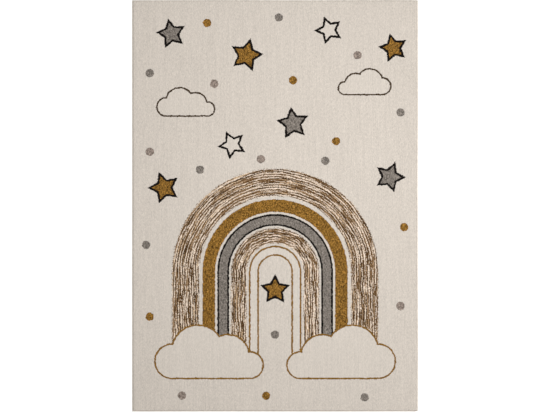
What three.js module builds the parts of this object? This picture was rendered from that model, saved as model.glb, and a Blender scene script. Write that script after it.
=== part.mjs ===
// A kids' rug of short cut pile, lying flat.
// Millimetres, +Z up, +Y towards the head of the design, origin on the floor under the rug's centre.
import * as THREE from 'three';

// The finished rug, over its whipped edges
const rugWidth = 1600;
const rugLength = 2300;

// The cloth: 2.5 mm of woven ground under 9.5 mm of pile, which rounds down a little at its rim
const pileTop = 12;
const rimHeight = 9.5;
const rimRounding = 3;

// Long soft dips where the pile lies a little lower, and the spacing and start of each
const pileDip = 0.6;
const dipAcross = { spacing: 190, start: 0.8 };
const dipAlong = { spacing: 260, start: -0.5 };

// The whipped edges, thick along the sides and thinner across the ends
const sideEdge = { width: 9, height: 10 };
const endEdge = { width: 6, height: 9 };
const gap = 0.3;

// A whipped edge's section, as shares of its width and height, and its round part in half turns
const rollMiddle = 0.42;
const rollFoot = 0.6;
const rollInside = 0.68;
const rollRound = { from: -0.28, to: 0.75, points: 10 };

// The sides' rolls narrow over this length at the rug's corners, to this share of their size
const cornerTaper = 4;
const cornerScale = 0.55;

// How far each edge draws in between its widest places, as waves along the edge
const drawnIn = {
  left: [{ depth: 0.5, wave: 1500, widest: -420 }],
  right: [
    { depth: 1.4, wave: 1450, widest: -760 },
    { depth: 0.5, wave: 640, widest: -760 },
  ],
  foot: [{ depth: 0.4, wave: 1100, widest: 240 }],
  head: [{ depth: 1.1, wave: 900, widest: -310 }],
};

// Steps between sections, and the fine lines of a rounded rim as shares of its width
const crossStep = 80;
const alongStep = 80;
const rimLines = [0, 0.07, 0.25, 0.56];

const halfCloth = {
  x: rugWidth / 2 - sideEdge.width - gap,
  y: rugLength / 2 - endEdge.width - gap,
};

const pileMaterial = new THREE.MeshStandardMaterial({ color: 0xd5cbbf, roughness: 0.95, metalness: 0 });
const yarnMaterial = new THREE.MeshStandardMaterial({ color: 0xcabfb1, roughness: 0.85, metalness: 0 });

function drawIn(edge, along) {
  const depths = drawnIn[edge].map(({ depth, wave, widest }) => {
    const turn = (2 * Math.PI * (along - widest)) / wave;
    return (depth * (1 - Math.cos(turn))) / 2;
  });
  return depths.reduce((sum, depth) => sum + depth);
}

// Moves a point of the true rectangle to where the uneven rug has it
function laidOut(x, y, z) {
  const side = x < 0 ? 'left' : 'right';
  const end = y < 0 ? 'foot' : 'head';
  return new THREE.Vector3(
    x - (drawIn(side, y) * x) / halfCloth.x,
    y - (drawIn(end, x) * y) / halfCloth.y,
    z,
  );
}

// Even steps between two rims, each rim with its own fine lines
function stations(half, rounding, step) {
  const inner = half - rounding;
  const count = Math.ceil((2 * inner) / step);
  const middle = Array.from({ length: count + 1 }, (_, i) => -inner + (2 * inner * i) / count);
  const rim = rimLines.map((share) => half - share * rounding);
  return [...rim.map((at) => -at), ...middle, ...rim.reverse()];
}

// A closed solid through sections of equally many points, whose ends are closed by ladders of
// rungs from each point of a section's first half to its partner in the second
function loft(sections) {
  const count = sections[0].length;
  const points = sections.flat();
  const faces = [];
  for (let s = 0; s + 1 < sections.length; s += 1) {
    for (let i = 0; i < count; i += 1) {
      const a = s * count + i;
      const b = s * count + ((i + 1) % count);
      faces.push([a, b, b + count], [a, b + count, a + count]);
    }
  }
  const closeEnd = (first, turned) => {
    for (let rung = 0; rung + 1 <= count - 2 - rung; rung += 1) {
      const [a, b, c, d] = [rung, rung + 1, count - 2 - rung, count - 1 - rung].map((i) => first + i);
      const filled = b === c ? [[a, b, d]] : [[a, b, c], [a, c, d]];
      faces.push(...(turned ? filled.map(([p, q, r]) => [p, r, q]) : filled));
    }
  };
  closeEnd(0, true);
  closeEnd(count * (sections.length - 1), false);

  const volume = faces.reduce((sum, [a, b, c]) => {
    const cross = new THREE.Vector3().crossVectors(points[b], points[c]);
    return sum + points[a].dot(cross);
  }, 0);
  const outward = volume > 0 ? faces : faces.map(([a, b, c]) => [a, c, b]);

  const geometry = new THREE.BufferGeometry();
  const positions = points.flatMap((point) => point.toArray());
  geometry.setAttribute('position', new THREE.Float32BufferAttribute(positions, 3));
  geometry.setIndex(outward.flat());
  geometry.computeVertexNormals();
  return geometry;
}

// A quarter round, from 0 at the rim to 1 where the rounding ends
function rounded(inside, rounding) {
  const share = Math.min(inside / rounding, 1);
  return Math.sqrt(1 - (1 - share) ** 2);
}

function pileHeight(x, y) {
  const across = Math.sin(x / dipAcross.spacing + dipAcross.start);
  const along = Math.sin(y / dipAlong.spacing + dipAlong.start);
  const top = pileTop - (pileDip * (1 + across * along)) / 2;
  const fromSide = rounded(halfCloth.x - Math.abs(x), rimRounding);
  const fromEnd = rounded(halfCloth.y - Math.abs(y), rimRounding);
  return rimHeight + (top - rimHeight) * fromSide * fromEnd;
}

function clothGeometry() {
  const across = stations(halfCloth.x, rimRounding, crossStep);
  const along = stations(halfCloth.y, rimRounding, alongStep);
  const backAcross = [...across].reverse();
  const sections = along.map((y) => [
    ...backAcross.map((x) => laidOut(x, y, 0)),
    ...across.map((x) => laidOut(x, y, pileHeight(x, y))),
  ]);
  return loft(sections);
}

// Points [outwards, up] of a roll that is flat against the cloth and on the floor, and round outside
function rollSection({ width, height }, scale) {
  const middle = rollMiddle * width;
  const round = Array.from({ length: rollRound.points }, (_, i) => {
    const share = i / (rollRound.points - 1);
    const angle = Math.PI * (rollRound.from + (rollRound.to - rollRound.from) * share);
    return [
      middle + (width - middle) * Math.cos(angle) * scale,
      (height / 2) * (1 + Math.sin(angle) * scale),
    ];
  });
  const lowest = (height / 2) * (1 - scale);
  const inside = (height / 2) * (1 + (2 * rollInside - 1) * scale);
  return [[0, lowest], [rollFoot * width * scale, lowest], ...round, [0, inside]];
}

function sideRollGeometry(side) {
  const half = rugLength / 2;
  const sections = stations(half, cornerTaper, alongStep).map((y) => {
    const scale = cornerScale + (1 - cornerScale) * rounded(half - Math.abs(y), cornerTaper);
    const place = ([out, up]) => laidOut(side * (halfCloth.x + gap + out), y, up);
    return rollSection(sideEdge, scale).map(place);
  });
  return loft(sections);
}

function endRollGeometry(end) {
  const sections = stations(halfCloth.x, rimRounding, crossStep).map((x) => {
    const place = ([out, up]) => laidOut(x, end * (halfCloth.y + gap + out), up);
    return rollSection(endEdge, 1).map(place);
  });
  return loft(sections);
}

function piece(name, geometry, material) {
  const mesh = new THREE.Mesh(geometry, material);
  mesh.name = name;
  return mesh;
}

const rug = new THREE.Group();
rug.add(piece('pile_cloth', clothGeometry(), pileMaterial));

const whippedEdges = new THREE.Group();
whippedEdges.add(piece('overcast_left', sideRollGeometry(-1), yarnMaterial));
whippedEdges.add(piece('overcast_right', sideRollGeometry(1), yarnMaterial));
whippedEdges.add(piece('overcast_foot', endRollGeometry(-1), yarnMaterial));
whippedEdges.add(piece('overcast_head', endRollGeometry(1), yarnMaterial));
rug.add(whippedEdges);

export default rug;
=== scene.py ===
import math

import bmesh
import bpy
import numpy as np
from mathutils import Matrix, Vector


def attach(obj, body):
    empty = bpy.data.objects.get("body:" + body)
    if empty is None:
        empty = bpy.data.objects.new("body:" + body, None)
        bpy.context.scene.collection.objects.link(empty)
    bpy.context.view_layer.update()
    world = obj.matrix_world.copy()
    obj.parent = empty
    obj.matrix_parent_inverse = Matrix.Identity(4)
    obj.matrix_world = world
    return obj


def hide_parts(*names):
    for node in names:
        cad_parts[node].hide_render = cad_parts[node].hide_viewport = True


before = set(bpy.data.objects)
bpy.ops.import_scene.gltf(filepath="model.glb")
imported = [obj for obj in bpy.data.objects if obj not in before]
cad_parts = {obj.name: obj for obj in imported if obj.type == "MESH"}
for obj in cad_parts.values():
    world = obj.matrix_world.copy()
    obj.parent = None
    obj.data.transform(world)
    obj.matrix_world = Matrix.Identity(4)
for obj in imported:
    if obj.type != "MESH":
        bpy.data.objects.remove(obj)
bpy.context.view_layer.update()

# The finished rug over its whipped edges, in metres
RUG_WIDTH = 1.6
RUG_LENGTH = 2.3

# The cloth: a woven ground under short pile that rounds down to its rim
PILE_TOP = 0.012
GROUND_TOP = 0.0025
RIM_HEIGHT = 0.0095
RIM_ROUNDING = 0.003
RIM_LINES = np.array([0, 0.07, 0.25, 0.56])

# Long soft dips where the pile lies a little lower, and the spacing and start of each
PILE_DIP = 0.0006
DIP_ACROSS = (0.190, 0.8)
DIP_ALONG = (0.260, -0.5)

# The whipped edges: width and height of the roll, its middle as a share of its width, the gap between
# it and the cloth, how far from the corners the sides' rolls narrow and to what share of their size
SIDE_EDGE = (0.009, 0.010)
END_EDGE = (0.006, 0.009)
ROLL_MIDDLE = 0.42
GAP = 0.0003
CORNER_TAPER = 0.004
CORNER_SCALE = 0.55

# How far each edge draws in between its widest places: depth, wave and widest place along the edge
DRAWN_IN = {
    "left": [(0.0005, 1.500, -0.420)],
    "right": [(0.0014, 1.450, -0.760), (0.0005, 0.640, -0.760)],
    "foot": [(0.0004, 1.100, 0.240)],
    "head": [(0.0011, 0.900, -0.310)],
}

HALF_ACROSS = RUG_WIDTH / 2 - SIDE_EDGE[0] - GAP
HALF_ALONG = RUG_LENGTH / 2 - END_EDGE[0] - GAP

# Spacing of the mesh over the pile, fine enough for the streaks that run along the rug, the heights
# of the lines round its upright sides, and how many steps of the pile make one of the underside
STEP_ACROSS = 0.0036
STEP_ALONG = 0.012
WALL_HEIGHTS = (0.005, GROUND_TOP, 0.0)
UNDERSIDE_COLUMNS = 12
UNDERSIDE_ROWS = 8

# The cloth's map, and the shares of its height that the pile and the underside take
MAP_NAME = "OFBake"
MAP_PILE = 0.84
MAP_UNDERSIDE = 0.15

# Tufts stand in uneven rows on the woven ground, with fuzzy sides and rounded tips, and the design
# wanders a little over them
TUFT_ACROSS = 0.0030
TUFT_ALONG = 0.0026
TUFT_UNEVENNESS = 0.55
TUFT_FUZZ = 0.0011
FUZZ_LENGTH = 0.0010
TIP_STEEPNESS = 1.4
WANDER = 0.0020
WANDER_LENGTH = 0.016

# Rows of whole tufts round the rim, which lean out over the whipping: how far inside the rim each row
# stands, its foot's height, how far it leans in radians, and its seed
RIM_ROWS = [
    (0.0008, 0.0060, 0.46, 21),
    (0.0020, 0.0067, 0.20, 22),
]
RIM_TUFT_LENGTH = 0.0047
RIM_TUFT_RADIUS = 0.0016
RIM_TUFT_SPACING = 0.0022
RIM_TUFT_SIDES = 6

# How much brighter than its own colour the pile shows in the studio's light
LIGHT_ON_PILE = 1.25

# The yarns as they show in daylight, on a scale of 255, and how mottled each is: how far its lightest
# and darkest tufts lie apart, as a share of its colour
YARNS = {
    "cream": ((213, 203.4, 192.4), 0.12),
    "smooth cream": ((215, 205.6, 194.5), 0.04),
    "ochre": ((134, 97, 41), 1.4),
    "grey": ((127, 119, 111), 1.0),
    "rose grey": ((143, 129, 119), 1.0),
    "near black": ((18, 12, 9), 0.6),
    "sand": ((231, 212, 192), 0.35),
    "tan": ((184, 156, 124), 0.8),
    "taupe": ((156, 128, 98), 0.8),
    "brown": ((105, 77, 48), 0.8),
    "dark brown": ((69, 49, 30), 0.8),
    "umber": ((85, 61, 36), 0.8),
    "ochre outline": ((132, 97, 45), 0.6),
    "brown outline": ((72, 58, 44), 0.6),
    "side whipping": ((241, 233, 221), 0.3),
    # The ends' yarn is the sides' yarn painted lighter, against the shade on the ends' tall, narrow rolls
    "end whipping painted lighter": ((250, 241, 229), 0.3),
    "jute": ((168, 146, 112), 0.5),
}

# The pile's unevenness, each kind with its width across the rug, its length along it and its seed
CLUMP = (0.0044, 0.0092, 8.0)
STREAK = (0.0037, 0.014, 1.0)
THREAD = (0.0034, 0.16, 10.0)
PATCH = (0.22, 0.30, 2.0)
FIBRE = (0.00045, 0.00045, 9.0)

# How much lighter or darker the pile gets in clumps of tufts, as a share of its yarn's mottle, in
# streaks and long threads that run along the rug, in wide patches and in single fibres
CLUMP_CONTRAST = 0.80
STREAK_CONTRAST = 0.14
THREAD_CONTRAST = 0.08
PATCH_CONTRAST = 0.015
FIBRE_CONTRAST = 0.07

# How much darker the pile is painted between its tufts, a painted shade, and how much brighter on their
# tips, a painted highlight; the rim's whole tufts, whose shade between them is real, get no painted shade
# but are painted lighter all over, most on their tips; and how much fibres and streaks add to the relief of
# the tips
PILE_PAINTED_SHADE_AND_LIGHT = (0.86, 1.11)
RIM_PAINTED_LIGHT = (1.02, 1.12)
FIBRE_RELIEF = 0.3
STREAK_RELIEF = 0.3

# The underside's jute, each kind of unevenness with its width across, its length along and its seed,
# and how far the wobble moves ribs and columns, in turns
RIB_WOBBLE = (0.006, 0.003, 3.0)
JUTE_STRAND = (0.009, 0.0005, 6.0)
JUTE_PATCH = (0.021, 0.021, 7.0)
RIB_SWAY = 0.10
COLUMN_SWAY = 0.06

# The underside's knots: how even their rows are, how faint they get between the ribs, how much they
# vary, where they begin and are full, and the least and most of their yarn that shows
KNOT_UNEVENNESS = 0.25
KNOT_BETWEEN_RIBS = 0.4
KNOT_VARIETY = 0.3
KNOT_REACH = (0.15, 0.7)
KNOT_SHOWS = (0.1, 0.7)

# How much strands, patches, ribs and knots change the underside's colour, and its relief
STRAND_CONTRAST = 0.10
JUTE_PATCH_CONTRAST = 0.05
RIB_CONTRAST = 0.12
KNOT_CONTRAST = 0.16
COLUMN_RELIEF = 0.3
STRAND_RELIEF = 0.25

# The whipping yarn's grain and patches, each with its width, length and seed, how much they change
# its colour and its relief, and how dark and light its two plies are painted with their twist, a
# painted shade in the grooves between them and painted light on their crowns
YARN_GRAIN = (0.0012, 0.0012, 4.0)
YARN_PATCH = (0.015, 0.015, 5.0)
YARN_GRAIN_CONTRAST = 0.05
YARN_PATCH_CONTRAST = 0.12
YARN_GRAIN_RELIEF = 0.2
PLIES = 2.0
PLY_PAINTED_SHADES = (0.88, 1.06)

# Each cloth's finish: its roughness at both ends of its range, depth of fine relief, and sheen
PILE_FINISH = (0.90, 1.0, 0.0006, 0.05)
GROUND_FINISH = (0.85, 1.0, 0.0005, 0.05)
YARN_FINISH = (0.95, 0.8, 0.0004, 0.1)
CLOTH_SPECULAR = 0.05
SHEEN_ROUGHNESS = 0.6

# The rainbow: its middle, where its legs end behind the clouds, and each band's inner and outer
# radius, yarn, and the yarn and width of its outlines
RAINBOW_MIDDLE = (0.0, -0.37)
RAINBOW_FOOT = -0.90
BANDS = [
    (0.425, 0.575, "strokes", None, 0),
    (0.335, 0.405, "ochre", None, 0),
    (0.262, 0.318, "grey", "near black", 0.010),
    (0.160, 0.245, "strokes", None, 0),
    (0.095, 0.142, "smooth cream", "ochre outline", 0.0095),
]

# Layers of long strokes: spacing, length, half width as a share of the spacing, start, yarns
STROKES = [
    (0.016, 0.26, 0.34, 5.0, ("taupe", "tan", "taupe")),
    (0.019, 0.15, 0.18, 3.0, ("sand",)),
    (0.0125, 0.22, 0.26, 9.0, ("brown", "dark brown", "umber")),
    (0.0145, 0.13, 0.18, 14.0, ("umber", "brown")),
]
STROKE_RADIUS = 0.4

# The share of strokes that are there, how far in lengths each line of them is shifted and the seed for
# that, how far each strays from its line as a share of the spacing, and its least width and what is added
STROKE_SHARE = 0.92
STROKE_STAGGER = 9.0
STROKE_SEED = 7.0
STROKE_STRAY = 0.3
STROKE_WIDTH = (0.7, 0.4)

# The strokes' waves: turns for each metre along them, depth and start
STROKE_WAVES = [(23.0, 0.0030, 1.0), (61.0, 0.0012, 2.1)]

# Between the strokes, this share of the tufts is taupe, and the bands' own edges fray by this much
SPECKLED_SHARE = 0.30
FRAY = 0.005

# Clouds: middle across, base along, width, direction faced, yarn and width of the outline
CLOUDS = [
    (-0.37, -0.965, 0.62, 1, "ochre outline", 0.0095),
    (0.37, -0.965, 0.62, -1, "ochre outline", 0.0095),
    (-0.50, 0.50, 0.33, 1, "brown outline", 0.009),
    (0.50, 0.62, 0.30, -1, "brown outline", 0.009),
]

# A cloud's lobes as shares of its width: across, along and radius, and the block that joins them
LOBES = [(-0.33, 0.155, 0.155), (-0.10, 0.245, 0.235), (0.17, 0.20, 0.195), (0.37, 0.12, 0.12)]
CLOUD_BLOCK = (0.02, 0.08, 0.35, 0.08)

# Stars with five points: place across and along, radius, turn in degrees and yarn
STARS = [
    (-0.58, 0.96, 0.075, 12, "grey"),
    (-0.16, 0.84, 0.085, -14, "ochre"),
    (0.30, 0.98, 0.070, 20, "smooth cream"),
    (0.66, 0.88, 0.072, 14, "ochre"),
    (0.10, 0.46, 0.082, 8, "grey"),
    (-0.24, 0.34, 0.070, 25, "smooth cream"),
    (-0.62, 0.10, 0.080, 18, "ochre"),
    (0.64, 0.16, 0.078, -20, "grey"),
    (0.00, -0.47, 0.075, 0, "ochre"),
]
STAR_WAIST = 0.52
STAR_OUTLINE = 0.012

# Dots: place across and along, and yarn
DOTS = [
    (-0.70, 0.74, "grey"),
    (-0.38, 1.02, "ochre"),
    (0.02, 1.05, "grey"),
    (0.46, 0.84, "rose grey"),
    (0.10, 0.70, "ochre"),
    (-0.34, 0.68, "rose grey"),
    (0.34, 0.36, "ochre"),
    (0.70, 0.52, "grey"),
    (-0.70, 0.30, "rose grey"),
    (-0.08, 0.26, "rose grey"),
    (0.28, 0.25, "grey"),
    (-0.42, 0.20, "grey"),
    (0.72, -0.12, "ochre"),
    (-0.72, -0.22, "grey"),
    (0.70, -0.56, "rose grey"),
    (-0.70, -0.62, "ochre"),
    (0.00, -0.72, "grey"),
    (-0.05, -1.06, "ochre"),
    (-0.52, -1.06, "rose grey"),
    (0.50, -1.07, "grey"),
]
DOT_RADIUS = 0.0232

# Each whipped edge: its node, the way out of the rug, and its seed
EDGES = [
    ("overcast_left", (-1.0, 0.0, 0.0), 11),
    ("overcast_right", (1.0, 0.0, 0.0), 12),
    ("overcast_foot", (0.0, -1.0, 0.0), 13),
    ("overcast_head", (0.0, 1.0, 0.0), 14),
]

# The whipping yarn: spacing of its turns, its width, its thickness on the sides and the ends, length of
# one twist of its plies, steps in each turn, and steps of the line that guides it
WRAP_SPACING = 0.0033
YARN_WIDTH = 0.0036
SIDE_YARN = 0.0022
END_YARN = 0.0019
YARN_TWIST = 0.007
STEPS_PER_TURN = 14
GUIDE_STEPS = 230

# Sides of the yarn's section and the cord's, how many yarn thicknesses narrower and lower than the
# roll the cord is, and the power that makes a round roll squarer, 1 for quite round
YARN_SIDES = 6
CORD_SIDES = 10
CORD_INSET = (2.0, 1.6)
ROLL_SQUARENESS = 0.75

# The seed of the streaks in the pile's height, how far apart two seeds lie in the noise of the yarn and
# of the pile, and the least length that anything is divided by
STREAK_SEED = 3
SEEDS_APART_IN_YARN = 7.0
SEEDS_APART_IN_PILE = 10.0
NEXT_TO_NOTHING = 0.00001

# The camera looks straight down. A pixel of the picture spans this much of the rug at the height
# where its edges are widest, and the camera stands over this place
PICTURE_WIDTH = 550
METRES_PER_PIXEL = 0.005588
WIDEST_HEIGHT = 0.0045
CAMERA_LENS = 85
CAMERA_SENSOR = 36
CAMERA_AIM = (-0.0007, -0.0020)

# The studio: light from all round, a soft lamp overhead and a low one beyond the right side, each
# with its place, diameter and watts, and a pale floor that glows a little, so that shadows stay weak
WORLD_LIGHT = 0.65
LAMPS = [
    ("soft lamp overhead", (0.46, 0.42, 2.95), 1.0, 47.0),
    ("low lamp", (7.0, 0.0, 1.9), 2.0, 300.0),
]
FLOOR_HALF = 25.0
FLOOR_COLOUR = (0.96, 0.96, 0.96, 1.0)
FLOOR_ROUGHNESS = 0.9
FLOOR_GLOW = 0.3


class Wire:
    """A value on its way through a node tree, which plain arithmetic carries on through Math nodes."""

    def __init__(self, tree, socket):
        self.tree = tree
        self.socket = socket

    def __add__(self, other):
        return reckon("ADD", self, other)

    def __sub__(self, other):
        return reckon("SUBTRACT", self, other)

    def __rsub__(self, other):
        return reckon("SUBTRACT", other, self)

    def __mul__(self, other):
        return reckon("MULTIPLY", self, other)

    def __truediv__(self, other):
        return reckon("DIVIDE", self, other)

    def __lt__(self, other):
        return reckon("LESS_THAN", self, other)

    def __gt__(self, other):
        return reckon("GREATER_THAN", self, other)

    def __abs__(self):
        return reckon("ABSOLUTE", self)

    __radd__ = __add__
    __rmul__ = __mul__


def feed(node, inputs):
    """Feeds a node's inputs from wires or plain values."""
    for name, value in inputs.items():
        if isinstance(value, Wire):
            value.tree.links.new(value.socket, node.inputs[name])
        else:
            node.inputs[name].default_value = value


def new_node(kind, inputs, tree=None, **settings):
    """Adds a node to a tree, or else to the one its inputs come from, with its settings and inputs."""
    tree = tree or next(value.tree for value in inputs.values() if isinstance(value, Wire))
    node = tree.nodes.new(kind)
    for name, value in settings.items():
        setattr(node, name, value)
    feed(node, inputs)
    return node


def out_of(node, output=0):
    """One output of a node, as a wire."""
    return Wire(node.id_data, node.outputs[output])


def made_by(kind, inputs, output=0, **settings):
    """One output of a new node, as a wire."""
    return out_of(new_node(kind, inputs, **settings), output)


def given_by(tree, kind, output=0, **settings):
    """One output of a new node that needs no inputs, as a wire."""
    return made_by(kind, {}, output, tree=tree, **settings)


def reckon(operation, *values):
    """What a Math node makes of one, two or three values."""
    return made_by("ShaderNodeMath", dict(enumerate(values)), operation=operation)


def reckon_vector(operation, *values):
    """What a Vector Math node makes of its vectors."""
    return made_by("ShaderNodeVectorMath", dict(enumerate(values)), operation=operation)


def smaller(a, b):
    return reckon("MINIMUM", a, b)


def larger(a, b):
    return reckon("MAXIMUM", a, b)


def root(value):
    return reckon("SQRT", value)


def hypotenuse(a, b):
    return root(a * a + b * b)


def between(value, low, high):
    """1 where a value lies between two others, and 0 elsewhere."""
    return (value > low) * (value < high)


def parts_of(vector):
    """A vector's three numbers."""
    node = new_node("ShaderNodeSeparateXYZ", {0: vector})
    return [out_of(node, i) for i in range(3)]


def vector_of(x, y, z=0.0):
    """A vector from three numbers."""
    return made_by("ShaderNodeCombineXYZ", {0: x, 1: y, 2: z})


def mixed(share, below, above):
    """A colour that goes from below to above as share goes from 0 to 1."""
    return made_by("ShaderNodeMix", {0: share, 6: below, 7: above}, 2, data_type="RGBA")


def blended(share, below, above):
    """A number that goes from below to above as share goes from 0 to 1."""
    return made_by("ShaderNodeMix", {0: share, 2: below, 3: above}, data_type="FLOAT")


def scaled(vector, amount):
    """A vector made longer or shorter, or a colour made lighter or darker."""
    return made_by("ShaderNodeVectorMath", {0: vector, "Scale": amount}, operation="SCALE")


def added(vector, *others):
    """The sum of some vectors."""
    for other in others:
        vector = reckon_vector("ADD", vector, other)
    return vector


def remapped(value, low, high, new_low, new_high):
    """A value moved evenly from one range to another, and held inside it."""
    inputs = {"Value": value, "From Min": low, "From Max": high, "To Min": new_low, "To Max": new_high}
    return made_by("ShaderNodeMapRange", inputs)


def strayed(place, length, detail, reach):
    """A place moved about at random, smoothly over a length, by up to about a quarter of reach."""
    inputs = {"Vector": place, "Scale": 1 / length, "Detail": detail}
    stray = reckon_vector("SUBTRACT", made_by("ShaderNodeTexNoise", inputs, "Color"), (0.5, 0.5, 0.5))
    return added(place, reckon_vector("MULTIPLY", stray, reach))


def socket_kind(value):
    """The kind of socket that holds a value, or that its name gives."""
    if isinstance(value, str):
        return "NodeSocket" + value
    if isinstance(value, tuple):
        return "NodeSocketVector" if len(value) == 3 else "NodeSocketColor"
    return "NodeSocketInt" if isinstance(value, int) else "NodeSocketFloat"


def start_group(name, takes, gives, kind="ShaderNodeTree"):
    """A node group with named sockets, and its inputs as wires."""
    group = bpy.data.node_groups.new(name, kind)
    for label, value in takes.items():
        socket = group.interface.new_socket(name=label, in_out="INPUT", socket_type=socket_kind(value))
        if not isinstance(value, str):
            socket.default_value = value
    for label, value in gives.items():
        group.interface.new_socket(name=label, in_out="OUTPUT", socket_type=socket_kind(value))
    entry = group.nodes.new("NodeGroupInput")
    return group, {label: Wire(group, entry.outputs[label]) for label in takes}


def end_group(group, results):
    new_node("NodeGroupOutput", results, group)
    return group


def use_group(group, inputs):
    """Places a group in the tree that its inputs come from, and gives its outputs by name."""
    node = new_node("ShaderNodeGroup", inputs, node_tree=group)
    return {socket.name: Wire(node.id_data, socket) for socket in node.outputs}


def yarn_colour(name, amount=1.0):
    """A yarn's own colour, from how it shows on a screen in the light, lighter or darker by an amount."""
    linear = [((part / 255 + 0.055) / 1.055) ** 2.4 for part in YARNS[name][0]]
    return (*(part * amount / LIGHT_ON_PILE for part in linear), 1.0)


def make_tuft_rows():
    """Finds the tuft that a place belongs to: its middle, a random shade and its rounded tip."""
    takes = {
        "Place": "Vector",
        "Across": TUFT_ACROSS,
        "Along": TUFT_ALONG,
        "Unevenness": TUFT_UNEVENNESS,
        "Fuzz": TUFT_FUZZ,
    }
    group, given = start_group("tuft rows", takes, {"Middle": "Vector", "Shade": "Float", "Tip": "Float"})
    reach = given["Fuzz"] * 2.0
    across, along, _ = parts_of(strayed(given["Place"], FUZZ_LENGTH, 2.0, vector_of(reach, reach)))
    counted = vector_of(across / given["Across"], along / given["Along"])
    inputs = {"Vector": counted, "Scale": 1.0, "Randomness": given["Unevenness"]}
    tufts = new_node("ShaderNodeTexVoronoi", inputs, voronoi_dimensions="2D")
    size = vector_of(given["Across"], given["Along"])
    middle = reckon_vector("MULTIPLY", out_of(tufts, "Position"), size)
    shade = parts_of(out_of(tufts, "Color"))[0]
    edge = smaller(out_of(tufts, "Distance") * TIP_STEEPNESS, 1.0)
    return end_group(group, {"Middle": middle, "Shade": shade, "Tip": 1.0 - edge * edge * edge})


def make_fibre_grain():
    """A soft grain, longer one way than the other, from -1 to 1."""
    takes = {"Place": "Vector", "Across": 0.005, "Along": 0.035, "Seed": 0.0}
    group, given = start_group("fibre grain", takes, {"Grain": "Float"})
    across, along, up = parts_of(given["Place"])
    place = vector_of(across / given["Across"], along / given["Along"], up / given["Across"])
    inputs = {"Vector": place, "W": given["Seed"], "Scale": 1.0, "Detail": 2.0, "Roughness": 0.6}
    grain = made_by("ShaderNodeTexNoise", inputs, "Fac", noise_dimensions="4D")

    # Nearly all of the noise lies between 0.25 and 0.75
    return end_group(group, {"Grain": grain * 4.0 - 2.0})


def make_yarn_heather():
    """A yarn's colour, lighter or darker from tuft to tuft."""
    takes = {"Yarn": "Color", "Shade": 0.5, "Amount": 0.1}
    group, given = start_group("yarn heather", takes, {"Colour": "Color"})
    change = (given["Shade"] - 0.5) * given["Amount"] + 1.0
    return end_group(group, {"Colour": scaled(given["Yarn"], change)})


def make_long_strokes():
    """Long tapered strokes side by side: where they lie, and a random number for each one's yarn."""
    takes = {"Across": 0.0, "Travel": 0.0, "Spacing": 0.012, "Length": 0.2, "Half Width": 0.3, "Start": 0.0}
    group, given = start_group("long strokes", takes, {"Mask": "Float", "Chance": "Float"})
    travel = given["Travel"]
    start = given["Start"]
    waves = [reckon("SINE", travel * turns + start * shift) * depth for turns, depth, shift in STROKE_WAVES]
    line = (given["Across"] + sum(waves[1:], waves[0])) / given["Spacing"]
    line_number = reckon("FLOOR", line)
    line_place = vector_of(line_number, start, STROKE_SEED)
    line_start = made_by("ShaderNodeTexWhiteNoise", {"Vector": line_place}, "Value")
    stretch = travel / given["Length"] + line_start * STROKE_STAGGER
    stretch_number = reckon("FLOOR", stretch)
    stroke_place = vector_of(line_number, stretch_number, start)
    chance, drift, _ = parts_of(made_by("ShaderNodeTexWhiteNoise", {"Vector": stroke_place}, "Color"))
    along = (stretch - stretch_number) * 2.0 - 1.0
    taper = root(larger(1.0 - along * along, 0.0))
    off_line = abs(line - line_number - 0.5 + (drift - 0.5) * STROKE_STRAY)
    least, more = STROKE_WIDTH
    reach = given["Half Width"] * taper * (drift * more + least)
    mask = (off_line < reach) * (chance < STROKE_SHARE)
    return end_group(group, {"Mask": mask, "Chance": chance / STROKE_SHARE})


def make_cloud_shape():
    """How far outside a cloud's outline a place is, in metres."""
    takes = {"Place": "Vector", "Middle": 0.0, "Base": 0.0, "Width": 0.3, "Facing": 1.0}
    group, given = start_group("cloud shape", takes, {"Distance": "Float"})
    across, along, _ = parts_of(given["Place"])
    across = (across - given["Middle"]) * given["Facing"] / given["Width"]
    along = (along - given["Base"]) / given["Width"]
    block_across, block_along, half_across, half_along = CLOUD_BLOCK
    distance = larger(abs(across - block_across) - half_across, abs(along - block_along) - half_along)
    for lobe_across, lobe_along, radius in LOBES:
        distance = smaller(distance, hypotenuse(across - lobe_across, along - lobe_along) - radius)
    return end_group(group, {"Distance": larger(distance, 0.0 - along) * given["Width"]})


def make_star_shape():
    """How far outside a five-pointed star's outline a place is, in metres."""
    takes = {"Place": "Vector", "Across": 0.0, "Along": 0.0, "Radius": 0.07, "Turn": 0.0}
    group, given = start_group("star shape", takes, {"Distance": "Float"})
    across, along, _ = parts_of(given["Place"])
    across = across - given["Across"]
    along = along - given["Along"]
    half_point = math.pi / 5
    bearing = reckon("ARCTAN2", across, along) + given["Turn"] + half_point
    folded = abs(reckon("FLOORED_MODULO", bearing, 2 * half_point) - half_point)
    away = hypotenuse(across, along)
    lean = Vector((STAR_WAIST * math.sin(half_point), 1 - STAR_WAIST * math.cos(half_point))).normalized()
    towards = reckon("COSINE", folded) * away - given["Radius"]
    beside = reckon("SINE", folded) * away
    return end_group(group, {"Distance": towards * lean.x + beside * lean.y})


TUFT_ROWS = make_tuft_rows()
FIBRE_GRAIN = make_fibre_grain()
YARN_HEATHER = make_yarn_heather()
LONG_STROKES = make_long_strokes()
CLOUD_SHAPE = make_cloud_shape()
STAR_SHAPE = make_star_shape()


class Weaving:
    """The design as it grows: each motif lays its yarn over what is there, tuft by tuft."""

    def __init__(self, place, shade):
        self.place = place
        self.shade = shade
        self.across, self.along, _ = parts_of(place)
        self.colour = yarn_colour("cream")
        self.mottle = YARNS["cream"][1]

    def lay(self, mask, yarn):
        self.colour = mixed(mask, self.colour, yarn_colour(yarn))
        self.mottle = blended(mask, self.mottle, YARNS[yarn][1])

    def outline(self, distance, width, yarn):
        self.lay(abs(distance) < width / 2, yarn)


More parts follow.
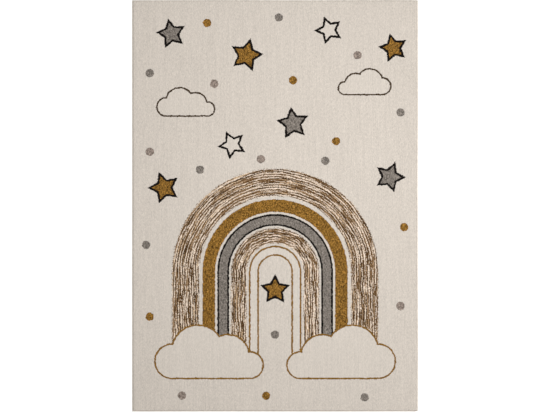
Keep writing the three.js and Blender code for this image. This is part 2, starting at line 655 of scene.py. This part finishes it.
def lay_rainbow(weaving):
    """Bands arching over one middle, with straight legs, some of them filled with long strokes."""
    across = weaving.across - RAINBOW_MIDDLE[0]
    along = weaving.along - RAINBOW_MIDDLE[1]
    radius = hypotenuse(across, larger(along, 0.0))
    arch = reckon("ARCTAN2", larger(along, 0.0), across) * STROKE_RADIUS
    travel = arch + reckon("SIGN", across) * smaller(along, 0.0)
    legs = weaving.along > RAINBOW_FOOT
    frayed = radius + (weaving.shade - 0.5) * (2 * FRAY)
    stroked = [between(frayed, inner, outer) for inner, outer, yarn, _, _ in BANDS if yarn == "strokes"]
    stroked = sum(stroked[1:], stroked[0]) * legs
    weaving.lay(stroked, "sand")
    weaving.lay(stroked * (weaving.shade < SPECKLED_SHARE), "taupe")
    for spacing, length, half_width, start, yarns in STROKES:
        strokes = use_group(LONG_STROKES, {
            "Across": radius,
            "Travel": travel,
            "Spacing": spacing,
            "Length": length,
            "Half Width": half_width,
            "Start": start,
        })
        for number, yarn in enumerate(yarns):
            picked = strokes["Chance"] > number / len(yarns)
            weaving.lay(strokes["Mask"] * stroked * picked, yarn)
    for inner, outer, yarn, outline, width in BANDS:
        if yarn != "strokes":
            weaving.lay(between(radius, inner, outer) * legs, yarn)
        if outline:
            edge = smaller(abs(radius - inner), abs(radius - outer))
            weaving.lay((edge < width / 2) * legs, outline)


def lay_clouds(weaving):
    for middle, base, width, facing, outline, outline_width in CLOUDS:
        inputs = {"Place": weaving.place, "Middle": middle, "Base": base, "Width": width, "Facing": facing}
        distance = use_group(CLOUD_SHAPE, inputs)["Distance"]
        weaving.lay(distance < 0.0, "smooth cream")
        weaving.outline(distance, outline_width, outline)


def lay_stars(weaving):
    for across, along, radius, turn, yarn in STARS:
        distance = use_group(STAR_SHAPE, {
            "Place": weaving.place,
            "Across": across,
            "Along": along,
            "Radius": radius,
            "Turn": math.radians(turn),
        })["Distance"]
        weaving.lay(distance < 0.0, yarn)
        weaving.outline(distance, STAR_OUTLINE, "near black")


def lay_dots(weaving):
    for across, along, yarn in DOTS:
        away = hypotenuse(weaving.across - across, weaving.along - along)
        weaving.lay(away < DOT_RADIUS, yarn)


def make_woven_design():
    """The yarn that each tuft of the rug is made of, from the place of the tuft's middle."""
    takes = {"Place": "Vector", "Shade": 0.5}
    group, given = start_group("woven design", takes, {"Yarn": "Color", "Mottle": "Float"})
    place = strayed(given["Place"], WANDER_LENGTH, 1.0, (4 * WANDER, 4 * WANDER, 0.0))
    weaving = Weaving(place, given["Shade"])
    lay_rainbow(weaving)
    lay_clouds(weaving)
    lay_stars(weaving)
    lay_dots(weaving)
    return end_group(group, {"Yarn": weaving.colour, "Mottle": weaving.mottle})


WOVEN_DESIGN = make_woven_design()


def new_material(name):
    """A material with its Principled shader, and the place on the piece as a wire."""
    material = bpy.data.materials.new(name)
    material.use_nodes = True
    tree = material.node_tree
    return material, tree.nodes["Principled BSDF"], given_by(tree, "ShaderNodeTexCoord", "Object")


def finish_material(shader, colour, worn, height, finish):
    """Feeds a cloth shader its colour, its relief, and its roughness as worn goes from 0 to 1."""
    first, last, depth, sheen = finish
    relief = {"Strength": 1.0, "Distance": depth, "Height": height}
    feed(shader, {
        "Base Color": colour,
        "Roughness": remapped(worn, 0.0, 1.0, first, last),
        "Normal": made_by("ShaderNodeBump", relief, "Normal"),
        "Specular IOR Level": CLOTH_SPECULAR,
        "Sheen Weight": sheen,
        "Sheen Roughness": SHEEN_ROUGHNESS,
    })


def rise_and_fall(turns):
    """A smooth wave from 0 to 1 and back for each turn."""
    return reckon("SINE", turns * (2 * math.pi)) * 0.5 + 0.5


def grain_of(place, across, along, seed):
    inputs = {"Place": place, "Across": across, "Along": along, "Seed": seed}
    return use_group(FIBRE_GRAIN, inputs)["Grain"]


def make_pile(name, painted_shades):
    """Cut pile: a tuft of one yarn in each place, with soft streaks along the rug, painted shade between
    its tufts and painted light on their tips.
    """
    material, shader, place = new_material(name)
    tufts = use_group(TUFT_ROWS, {"Place": place})
    shade = tufts["Shade"]
    design = use_group(WOVEN_DESIGN, {"Place": tufts["Middle"], "Shade": shade})
    mottle = design["Mottle"]
    heather = use_group(YARN_HEATHER, {"Yarn": design["Yarn"], "Shade": shade, "Amount": mottle})
    streaks = grain_of(place, *STREAK)
    threads = grain_of(place, *THREAD)
    patches = grain_of(place, *PATCH)
    clumps = grain_of(place, *CLUMP)
    fibres = grain_of(place, *FIBRE)
    unevenness = streaks * STREAK_CONTRAST + threads * THREAD_CONTRAST + patches * PATCH_CONTRAST
    unevenness = unevenness + clumps * mottle * CLUMP_CONTRAST + fibres * FIBRE_CONTRAST
    # Painted shade between the tufts and painted light on their tips, following each tuft's rounded tip
    painted_tuft_shade_and_light = remapped(tufts["Tip"], 0.0, 1.0, *painted_shades)
    colour = scaled(heather["Colour"], (unevenness + 1.0) * painted_tuft_shade_and_light)
    height = tufts["Tip"] + fibres * FIBRE_RELIEF + streaks * STREAK_RELIEF
    finish_material(shader, colour, shade, height, PILE_FINISH)
    return material


def make_woven_ground():
    """The underside: jute weft ribs, with the pile yarns showing between them as small knots."""
    material, shader, place = new_material("woven ground")
    tufts = use_group(TUFT_ROWS, {"Place": place, "Unevenness": KNOT_UNEVENNESS})
    shade = tufts["Shade"]
    design = use_group(WOVEN_DESIGN, {"Place": tufts["Middle"], "Shade": shade})
    across, along, _ = parts_of(place)
    wobble = grain_of(place, *RIB_WOBBLE)
    ribs = rise_and_fall(along / TUFT_ALONG + wobble * RIB_SWAY)
    columns = rise_and_fall(across / TUFT_ACROSS + wobble * COLUMN_SWAY)
    knots = columns * blended(ribs, KNOT_BETWEEN_RIBS, 1.0) + (shade - 0.5) * KNOT_VARIETY
    ground = mixed(remapped(knots, *KNOT_REACH, *KNOT_SHOWS), yarn_colour("jute"), design["Yarn"])
    strands = grain_of(place, *JUTE_STRAND)
    patches = grain_of(place, *JUTE_PATCH)
    change = strands * STRAND_CONTRAST + patches * JUTE_PATCH_CONTRAST + (ribs - 0.5) * RIB_CONTRAST
    inputs = {"Yarn": scaled(ground, change + 1.0), "Shade": shade, "Amount": KNOT_CONTRAST}
    colour = use_group(YARN_HEATHER, inputs)["Colour"]
    height = ribs + columns * COLUMN_RELIEF + strands * STRAND_RELIEF
    finish_material(shader, colour, strands * 0.5 + 0.5, height, GROUND_FINISH)
    return material


def make_whipping_yarn(name):
    """Thick two-ply yarn, whose twist follows the yarn round the edge."""
    material, shader, place = new_material(name)
    travel, turn = [
        given_by(place.tree, "ShaderNodeAttribute", "Fac", attribute_name=attribute)
        for attribute in ("yarn_travel", "yarn_turn")
    ]
    twist = rise_and_fall(travel / YARN_TWIST + turn * PLIES)
    grain = grain_of(place, *YARN_GRAIN)
    patches = grain_of(place, *YARN_PATCH)
    # Painted shade and light on the plies, following the twist that also raises their relief
    plies = mixed(twist, *(yarn_colour(name, shade) for shade in PLY_PAINTED_SHADES))
    colour = scaled(plies, grain * YARN_GRAIN_CONTRAST + patches * YARN_PATCH_CONTRAST + 1.0)
    finish_material(shader, colour, twist, twist + grain * YARN_GRAIN_RELIEF, YARN_FINISH)
    return material


def make_floor_paint():
    """The studio's pale floor."""
    material, shader, _ = new_material("pale floor")
    feed(shader, {
        "Base Color": FLOOR_COLOUR,
        "Roughness": FLOOR_ROUGHNESS,
        "Specular IOR Level": 0.0,
        "Emission Color": (1.0, 1.0, 1.0, 1.0),
        "Emission Strength": FLOOR_GLOW,
    })
    return material


def drawn_in(edge, along):
    """How far an edge draws in at each place along it."""
    waves = [depth * (1 - np.cos(2 * math.pi * (along - widest) / wave)) / 2
             for depth, wave, widest in DRAWN_IN[edge]]
    return sum(waves)


def laid_out(across, along):
    """Moves places of the true rectangle to where the uneven rug has them."""
    side = np.where(across < 0, drawn_in("left", along), drawn_in("right", along))
    end = np.where(along < 0, drawn_in("foot", across), drawn_in("head", across))
    return across - side * across / HALF_ACROSS, along - end * along / HALF_ALONG


def stations(half, rounding, step):
    """Even steps between two rims, each rim with its own fine lines."""
    inner = half - rounding
    middle = np.linspace(-inner, inner, math.ceil(2 * inner / step) + 1)
    rim = half - RIM_LINES * rounding
    return np.concatenate([-rim, middle, rim[::-1]])


def rounded(inside, rounding):
    """A quarter round, from 0 at the rim to 1 where the rounding ends."""
    share = np.minimum(inside / rounding, 1)
    return np.sqrt(1 - (1 - share) ** 2)


def rim_share(across, along):
    """How far up its rounded rim the pile has come, from 0 at the rug's edge to 1 inside."""
    side = rounded(HALF_ACROSS - np.abs(across), RIM_ROUNDING)
    end = rounded(HALF_ALONG - np.abs(along), RIM_ROUNDING)
    return side * end


def pile_height(across, along):
    dip = np.sin(across / DIP_ACROSS[0] + DIP_ACROSS[1]) * np.sin(along / DIP_ALONG[0] + DIP_ALONG[1])
    top = PILE_TOP - PILE_DIP * (1 + dip) / 2
    return RIM_HEIGHT + (top - RIM_HEIGHT) * rim_share(across, along)


def border_of(rows, columns):
    """The grid places round a grid's border, anticlockwise from its first corner."""
    foot = [(0, c) for c in range(columns - 1)]
    right = [(r, columns - 1) for r in range(rows - 1)]
    head = [(rows - 1, c) for c in range(columns - 1, 0, -1)]
    left = [(r, 0) for r in range(rows - 1, 0, -1)]
    return foot + right + head + left


def pile_cloth_mesh():
    """The cloth as one closed body: pile on top, upright cut sides, and a flat woven underside."""
    across = stations(HALF_ACROSS, RIM_ROUNDING, STEP_ACROSS)
    along = stations(HALF_ALONG, RIM_ROUNDING, STEP_ALONG)
    rows = len(along)
    columns = len(across)
    flat_x, flat_y = np.meshgrid(across, along)
    top_x, top_y = laid_out(flat_x, flat_y)
    points = [np.stack([top_x, top_y, pile_height(flat_x, flat_y)], -1).reshape(-1, 3)]
    top = np.arange(rows * columns).reshape(rows, columns)
    faces = np.stack([top[:-1, :-1], top[:-1, 1:], top[1:, 1:], top[1:, :-1]], -1).reshape(-1, 4).tolist()

    border = border_of(rows, columns)
    edge = np.array([top[place] for place in border])
    upper = edge
    count = rows * columns
    for height in WALL_HEIGHTS:
        wall = points[0][edge].copy()
        wall[:, 2] = height
        points.append(wall)
        lower = np.arange(count, count + len(edge))
        count += len(edge)
        faces += np.stack([upper, lower, np.roll(lower, -1), np.roll(upper, -1)], -1).tolist()
        upper = lower

    columns_below = sorted({*range(0, columns, UNDERSIDE_COLUMNS), columns - 1})
    rows_below = sorted({*range(0, rows, UNDERSIDE_ROWS), rows - 1})
    below = dict(zip(border, upper.tolist()))
    inner = [(r, c) for r in rows_below[1:-1] for c in columns_below[1:-1]]
    below.update(zip(inner, range(count, count + len(inner))))
    points.append(np.array([[top_x[place], top_y[place], 0] for place in inner]))
    for r0, r1 in zip(rows_below, rows_below[1:]):
        for c0, c1 in zip(columns_below, columns_below[1:]):
            foot = [(r0, c) for c in range(c0, c1)]
            right = [(r, c1) for r in range(r0, r1)]
            head = [(r1, c) for c in range(c1, c0, -1)]
            left = [(r, c0) for r in range(r1, r0, -1)]
            loop = [below[place] for place in foot + right + head + left if place in below]
            faces.append(loop[::-1])

    mesh = bpy.data.meshes.new("pile_cloth_piece")
    mesh.from_pydata(np.concatenate(points).tolist(), [], faces)
    shares = np.zeros(len(mesh.vertices))
    shares[:rows * columns] = rim_share(flat_x, flat_y).ravel()
    mesh.attributes.new("pile_share", "FLOAT", "POINT").data.foreach_set("value", shares)
    mesh.update()
    return mesh


def start_growing(name, takes):
    """A Geometry Nodes tree with named inputs, and its inputs as wires."""
    return start_group(name, takes, {"Geometry": "Geometry"}, "GeometryNodeTree")


def shaped(geometry, kind, inputs=None, **settings):
    """What a Geometry Nodes node makes of a geometry."""
    return made_by("GeometryNode" + kind, {0: geometry, **(inputs or {})}, **settings)


def dressed(geometry, material, where=True):
    return shaped(geometry, "SetMaterial", {"Selection": where, "Material": material})


def end_growing(tree, geometry, material, where=True):
    """Ends a tree in real, smooth faces, of one material where a value says so."""
    real = shaped(shaped(geometry, "SetShadeSmooth"), "RealizeInstances")
    return end_group(tree, {"Geometry": dressed(real, material, where)})


def make_streaky_pile():
    """Raises and lowers the pile in soft streaks along the rug, over a woven ground."""
    tree, given = start_growing("streaky pile", {
        "Cloth": "Geometry",
        "Streak Width": 0.011,
        "Streak Length": 0.05,
        "Streak Height": 0.00025,
        "Seed": STREAK_SEED,
        "Pile": "Material",
        "Ground": "Material",
    })
    x, y, _ = parts_of(given_by(tree, "GeometryNodeInputPosition"))
    seed = given["Seed"] * SEEDS_APART_IN_PILE
    place = vector_of(x / given["Streak Width"], y / given["Streak Length"], seed)
    noise = made_by("ShaderNodeTexNoise", {"Vector": place, "Scale": 1.0, "Detail": 1.0}, "Fac")
    share = made_by("GeometryNodeInputNamedAttribute", {"Name": "pile_share"}, tree=tree, data_type="FLOAT")
    rise = (noise - 0.5) * given["Streak Height"] * share * 2.0
    moved = shaped(given["Cloth"], "SetPosition", {"Offset": vector_of(0.0, 0.0, rise)})
    _, _, facing_up = parts_of(given_by(tree, "GeometryNodeInputNormal"))
    return end_growing(tree, dressed(moved, given["Pile"]), given["Ground"], facing_up < -0.5)


def make_leaning_tufts():
    """Stands tufts in a row round a guide line, leaning outwards, each one a little different."""
    tree, given = start_growing("leaning tufts", {
        "Guide": "Geometry",
        "Spacing": RIM_TUFT_SPACING,
        "Foot Height": 0.006,
        "Tuft Length": RIM_TUFT_LENGTH,
        "Tuft Radius": RIM_TUFT_RADIUS,
        "Tuft Sides": RIM_TUFT_SIDES,
        "Foot Share": 0.6,
        "Crown": 0.10,
        "Lean": 0.3,
        "Stray": 0.3,
        "Height Spread": 0.0003,
        "Lean Spread": 0.14,
        "Size Spread": 0.15,
        "Seed": 21,
        "Pile": "Material",
    })
    guide = shaped(given["Guide"], "MeshToCurve")
    row = shaped(guide, "ResampleCurve", {"Length": given["Spacing"]}, mode="LENGTH")
    inputs = {0: (-1.0, -1.0, -1.0), 1: (1.0, 1.0, 1.0), "Seed": given["Seed"]}
    chance = made_by("FunctionNodeRandomValue", inputs, data_type="FLOAT_VECTOR")
    chance_x, chance_y, chance_z = parts_of(chance)
    stray = given["Spacing"] * given["Stray"]
    foot = given["Foot Height"] + chance_z * given["Height Spread"]
    stood = shaped(row, "SetPosition", {"Offset": vector_of(chance_x * stray, chance_y * stray, foot)})

    tangent_x, tangent_y, _ = parts_of(given_by(tree, "GeometryNodeInputTangent"))
    lean = given["Lean"] + chance_z * given["Lean Spread"]
    outward = scaled(vector_of(tangent_y, 0.0 - tangent_x), reckon("SINE", lean))
    sideways = scaled(vector_of(chance_y, chance_x), given["Lean Spread"])
    direction = added(sideways, vector_of(0.0, 0.0, reckon("COSINE", lean)), outward)
    turned = made_by("FunctionNodeAlignRotationToVector", {"Vector": direction}, axis="Z")
    thickness = given["Tuft Radius"] * (chance_x * given["Size Spread"] + 1.0)
    size = vector_of(thickness, thickness, given["Tuft Length"] * (chance_y * given["Size Spread"] + 1.0))

    cone = {
        "Vertices": given["Tuft Sides"],
        "Radius Top": 1.0,
        "Radius Bottom": given["Foot Share"],
        "Depth": 1.0,
    }
    tuft = made_by("GeometryNodeMeshCone", cone, "Mesh", fill_type="TRIANGLE_FAN")
    x, y, z = parts_of(given_by(tree, "GeometryNodeInputPosition"))
    crown = larger(1.0 - hypotenuse(x, y), 0.0) * (z > 0.5) * given["Crown"]
    crowned = shaped(tuft, "SetPosition", {"Offset": vector_of(0.0, 0.0, crown)})
    tufts = shaped(stood, "InstanceOnPoints", {"Instance": crowned, "Rotation": turned, "Scale": size})
    return end_growing(tree, tufts, given["Pile"])


def make_wound_yarn():
    """Winds one yarn round and round a cord that follows a guide line along the rug's edge."""
    tree, given = start_growing("wound yarn", {
        "Guide": "Geometry",
        "Turns": 100,
        "Steps per Turn": STEPS_PER_TURN,
        "Outward": (1.0, 0.0, 0.0),
        "Roll Width": SIDE_EDGE[0],
        "Roll Height": SIDE_EDGE[1],
        "Length": 1.0,
        "Corner Taper": 0.0,
        "Yarn Width": YARN_WIDTH,
        "Yarn Thickness": SIDE_YARN,
        "Yarn Sides": YARN_SIDES,
        "Cord Sides": CORD_SIDES,
        "Slack": 0.0003,
        "Sideways Slack": 0.0009,
        "Slack Waves per Turn": 0.45,
        "Seed": 1,
        "Yarn": "Material",
    })
    guide = shaped(given["Guide"], "MeshToCurve")
    share = given_by(tree, "GeometryNodeSplineParameter", "Factor")
    from_end = smaller(share, 1.0 - share) * given["Length"]
    inside = 1.0 - smaller(from_end / larger(given["Corner Taper"], NEXT_TO_NOTHING), 1.0)
    scale = root(1.0 - inside * inside) * (1 - CORNER_SCALE) + CORNER_SCALE
    yarn, travel, turn = wound_round(given, guide, share, scale)
    both = new_node("GeometryNodeJoinGeometry", {}, tree)
    for part in (yarn, cord_inside(given, guide, scale)):
        tree.links.new(part.socket, both.inputs[0])
    marked = out_of(both)
    for name, value in (("yarn_travel", travel), ("yarn_turn", turn)):
        marked = shaped(marked, "StoreNamedAttribute", {"Name": name, "Value": value}, data_type="FLOAT")
    return end_growing(tree, marked, given["Yarn"])


def wound_round(given, guide, share, scale):
    """The yarn's turns as a tube, and how far along it and round it each of its points is."""
    turns = share * given["Turns"]
    slack_place = vector_of(turns * given["Slack Waves per Turn"], given["Seed"] * SEEDS_APART_IN_YARN)
    slack = made_by("ShaderNodeTexNoise", {"Vector": slack_place, "Scale": 1.0}, "Color")
    slack_x, slack_y, _ = parts_of(slack)
    angle = turns * (2 * math.pi)
    sideways = squared(reckon("COSINE", angle))
    upright = squared(reckon("SINE", angle))
    half_yarn = given["Yarn Thickness"] * 0.5
    half_height = given["Roll Height"] * 0.5
    middle = given["Roll Width"] * ROLL_MIDDLE
    wide = given["Roll Width"] - middle
    outside = sideways > 0.0
    reach = outside * (wide - middle) + middle - half_yarn
    narrowing = outside * (scale - 1.0) + 1.0
    out = middle + sideways * reach * narrowing + (slack_x - 0.5) * given["Slack"]
    up = half_height + upright * (half_height - half_yarn) * scale

    along = new_node("GeometryNodeSampleCurve", {"Curves": guide, "Factor": share}, mode="FACTOR")
    outward = scaled(given["Outward"], out)
    shift = scaled(out_of(along, "Tangent"), (slack_y - 0.5) * given["Sideways Slack"])
    place = added(out_of(along, "Position"), outward, shift, vector_of(0.0, 0.0, up))
    line = given_by(guide.tree, "GeometryNodeCurvePrimitiveLine")
    count = given["Turns"] * given["Steps per Turn"] + 1.0
    thread = shaped(line, "ResampleCurve", {"Count": count})
    wound = shaped(thread, "SetPosition", {"Position": place})
    facing = added(scaled(given["Outward"], sideways), vector_of(0.0, 0.0, upright))
    faced = shaped(wound, "SetCurveNormal", {"Normal": facing}, mode="FREE")
    ring = ring_of(given["Yarn Sides"], given["Yarn Thickness"], given["Yarn Width"])
    travelled, travel = captured(faced, "Length")
    section, turn = captured(ring, "Factor")
    tube = shaped(travelled, "CurveToMesh", {"Profile Curve": section, "Fill Caps": True})
    return tube, travel, turn


def cord_inside(given, guide, scale):
    """The cord that the yarn is wound round."""
    outward = scaled(given["Outward"], given["Roll Width"] * ROLL_MIDDLE)
    middle = added(outward, vector_of(0.0, 0.0, given["Roll Height"] * 0.5))
    line = shaped(guide, "SetPosition", {"Offset": middle})
    level = shaped(line, "SetCurveNormal", mode="Z_UP")
    narrower, lower = CORD_INSET
    across = given["Roll Width"] - given["Yarn Thickness"] * narrower
    up = given["Roll Height"] - given["Yarn Thickness"] * lower
    section = ring_of(given["Cord Sides"], across, up)
    return shaped(level, "CurveToMesh", {"Profile Curve": section, "Scale": scale, "Fill Caps": True})


def ring_of(sides, across, up):
    """An oval section with a number of sides, as wide and high as told."""
    ring = made_by("GeometryNodeCurvePrimitiveCircle", {"Resolution": sides, "Radius": 0.5})
    return shaped(ring, "Transform", {"Scale": vector_of(across, up, 1.0)})


def squared(value):
    """A sine or cosine drawn out towards 1, so that a round section gets squarer."""
    return reckon("SIGN", value) * reckon("POWER", abs(value), ROLL_SQUARENESS)


def captured(curve, output):
    """Keeps how far along a curve its points are as it is now, by Length or by Factor."""
    node = new_node("GeometryNodeCaptureAttribute", {0: curve})
    node.capture_items.new("FLOAT", "kept")
    feed(node, {1: given_by(curve.tree, "GeometryNodeSplineParameter", output)})
    return out_of(node, 0), out_of(node, 1)


def placed(name, data):
    """A new object in the scene."""
    thing = bpy.data.objects.new(name, data)
    bpy.context.scene.collection.objects.link(thing)
    return thing


def grown(name, mesh, tree, inputs):
    """Runs a mesh through a Geometry Nodes tree, and gives the result as a piece with a plain mesh."""
    piece = placed(name, mesh)
    modifier = piece.modifiers.new(tree.name, "NODES")
    modifier.node_group = tree
    for socket in tree.interface.items_tree:
        if socket.in_out == "INPUT" and socket.name in inputs:
            modifier[socket.identifier] = inputs[socket.name]
    depsgraph = bpy.context.evaluated_depsgraph_get()
    result = bpy.data.meshes.new_from_object(piece.evaluated_get(depsgraph))

    # A mesh that starts inside the tree has an empty slot before its material
    if result.materials[0] is None:
        result.materials.pop(index=0)
    piece.modifiers.clear()
    piece.data = result
    result.name = name
    return piece


def numbers_in(items, name, kind, width=1):
    """One property of all of a mesh's points, corners or faces, as an array."""
    found = np.empty(len(items) * width, kind)
    items.foreach_get(name, found)
    return found.reshape(-1, width) if width > 1 else found


def lay_out_flat(mesh):
    """Gives the cloth a map: the pile with its sides folded out, and beside it the smaller underside."""
    corners = numbers_in(mesh.loops, "vertex_index", np.int32)
    across, along, up = numbers_in(mesh.vertices, "co", np.float32, 3)[corners].T
    faces_below = numbers_in(mesh.polygons, "material_index", np.int32) == 1
    below = np.repeat(faces_below, numbers_in(mesh.polygons, "loop_total", np.int32))
    fold = np.where(below, RIM_HEIGHT, np.maximum(RIM_HEIGHT - up, 0))
    u = 0.5 + across * (1 + fold / HALF_ACROSS) / (HALF_ACROSS + RIM_HEIGHT) / 2
    v = 0.5 + along * (1 + fold / HALF_ALONG) / (HALF_ALONG + RIM_HEIGHT) / 2
    v = np.where(below, 1 - v * MAP_UNDERSIDE, v * MAP_PILE)
    layer = mesh.uv_layers.new(name=MAP_NAME)
    layer.uv.foreach_set("vector", np.stack([u, v], -1).ravel().astype(np.float32))


def make_pile_piece(pile):
    inputs = {"Seed": STREAK_SEED, "Pile": pile, "Ground": make_woven_ground()}
    piece = grown("pile_cloth_woven", pile_cloth_mesh(), make_streaky_pile(), inputs)
    lay_out_flat(piece.data)
    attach(piece, "root")
    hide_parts("pile_cloth")
    return piece


def guide_line(across, along, closed=False):
    """A line of points on the floor, where the uneven rug has them."""
    x, y = laid_out(across, along)
    points = np.stack([x, y, np.zeros_like(x)], -1).tolist()
    count = len(points)
    mesh = bpy.data.meshes.new("guide line")
    mesh.from_pydata(points, [(i, (i + 1) % count) for i in range(count if closed else count - 1)], [])
    return mesh


def rim_guide(inset):
    """A closed line round the cloth, anticlockwise, a little inside its rim."""
    half_x = HALF_ACROSS - inset
    half_y = HALF_ALONG - inset
    corners = [(-half_x, -half_y), (half_x, -half_y), (half_x, half_y), (-half_x, half_y)]
    sides = zip(corners, corners[1:] + corners[:1])
    line = np.concatenate([np.linspace(start, end, GUIDE_STEPS, endpoint=False) for start, end in sides])
    return guide_line(line[:, 0], line[:, 1], closed=True)


def make_rim_tufts(pile):
    """The outermost rows of the pile, as one piece."""
    tree = make_leaning_tufts()
    rows = []
    for inset, foot, lean, seed in RIM_ROWS:
        rows.append(grown("pile_rim_row", rim_guide(inset), tree, {
            "Foot Height": foot,
            "Lean": lean,
            "Seed": seed,
            "Pile": pile,
        }))
    piece = joined("pile_rim_tufts", rows, pile)
    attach(piece, "root")
    return piece


def joined(name, pieces, material):
    """Several pieces as one, all of one material."""
    build = bmesh.new()
    for piece in pieces:
        build.from_mesh(piece.data)
        bpy.data.objects.remove(piece)
    mesh = bpy.data.meshes.new(name)
    mesh.materials.append(material)
    build.to_mesh(mesh)
    build.free()
    return placed(name, mesh)


def edge_guide(outward, half, length_half):
    """A line along one edge, just outside the cloth."""
    travel = np.linspace(-length_half, length_half, GUIDE_STEPS + 1)
    if outward[0]:
        return guide_line(np.full_like(travel, outward[0] * half), travel)
    return guide_line(travel, np.full_like(travel, outward[1] * half))


def make_whipped_edges():
    tree = make_wound_yarn()
    side_yarn = make_whipping_yarn("side whipping")
    # The ends' whipping: the same yarn painted lighter, against the shade on their tall, narrow rolls
    end_yarn_painted_lighter = make_whipping_yarn("end whipping painted lighter")
    pieces = []
    for node, outward, seed in EDGES:
        side = bool(outward[0])
        width, height = SIDE_EDGE if side else END_EDGE
        half = HALF_ACROSS + GAP if side else HALF_ALONG + GAP
        length_half = RUG_LENGTH / 2 - YARN_WIDTH / 2 if side else HALF_ACROSS
        piece = grown(node + "_wound", edge_guide(outward, half, length_half), tree, {
            "Turns": round(2 * length_half / WRAP_SPACING),
            "Outward": outward,
            "Roll Width": width,
            "Roll Height": height,
            "Length": 2 * length_half,
            "Corner Taper": CORNER_TAPER if side else 0.0,
            "Yarn Thickness": SIDE_YARN if side else END_YARN,
            "Seed": seed,
            "Yarn": side_yarn if side else end_yarn_painted_lighter,
        })
        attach(piece, "root")
        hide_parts(node)
        pieces.append(piece)
    return pieces


def make_floor():
    mesh = bpy.data.meshes.new("floor")
    corners = [(-FLOOR_HALF, -FLOOR_HALF, 0), (FLOOR_HALF, -FLOOR_HALF, 0)]
    corners += [(FLOOR_HALF, FLOOR_HALF, 0), (-FLOOR_HALF, FLOOR_HALF, 0)]
    mesh.from_pydata(corners, [], [(0, 1, 2, 3)])
    mesh.materials.append(make_floor_paint())
    placed("floor", mesh)


def make_camera():
    """Straight above the rug, at the height where the lens takes in the picture's width."""
    data = bpy.data.cameras.new("camera")
    data.lens = CAMERA_LENS
    data.sensor_width = CAMERA_SENSOR
    camera = placed("camera", data)
    height = PICTURE_WIDTH * METRES_PER_PIXEL * CAMERA_LENS / CAMERA_SENSOR
    camera.location = (*CAMERA_AIM, WIDEST_HEIGHT + height)
    bpy.context.scene.camera = camera


def make_light():
    """Even light from all round, and the lamps, aimed at the rug's middle and out of the picture."""
    scene = bpy.context.scene
    world = bpy.data.worlds.new("studio")
    world.use_nodes = True
    feed(world.node_tree.nodes["Background"], {"Color": (1, 1, 1, 1), "Strength": WORLD_LIGHT})
    scene.world = world
    scene.view_settings.view_transform = "Standard"
    for name, place, diameter, watts in LAMPS:
        data = bpy.data.lights.new(name, "AREA")
        data.shape = "DISK"
        data.size = diameter
        data.energy = watts
        lamp = placed(name, data)
        lamp.location = place
        lamp.rotation_euler = Vector(place).to_track_quat("Z", "Y").to_euler()
        lamp.visible_camera = False


make_camera()
make_light()
make_floor()
cloth = make_pile_piece(make_pile("cut pile", PILE_PAINTED_SHADE_AND_LIGHT))
# The rim's copy of the pile is painted lighter all over, with no painted shade between its real, whole
# tufts
rim_tufts = make_rim_tufts(make_pile("rim pile painted lighter", RIM_PAINTED_LIGHT))
edges = make_whipped_edges()
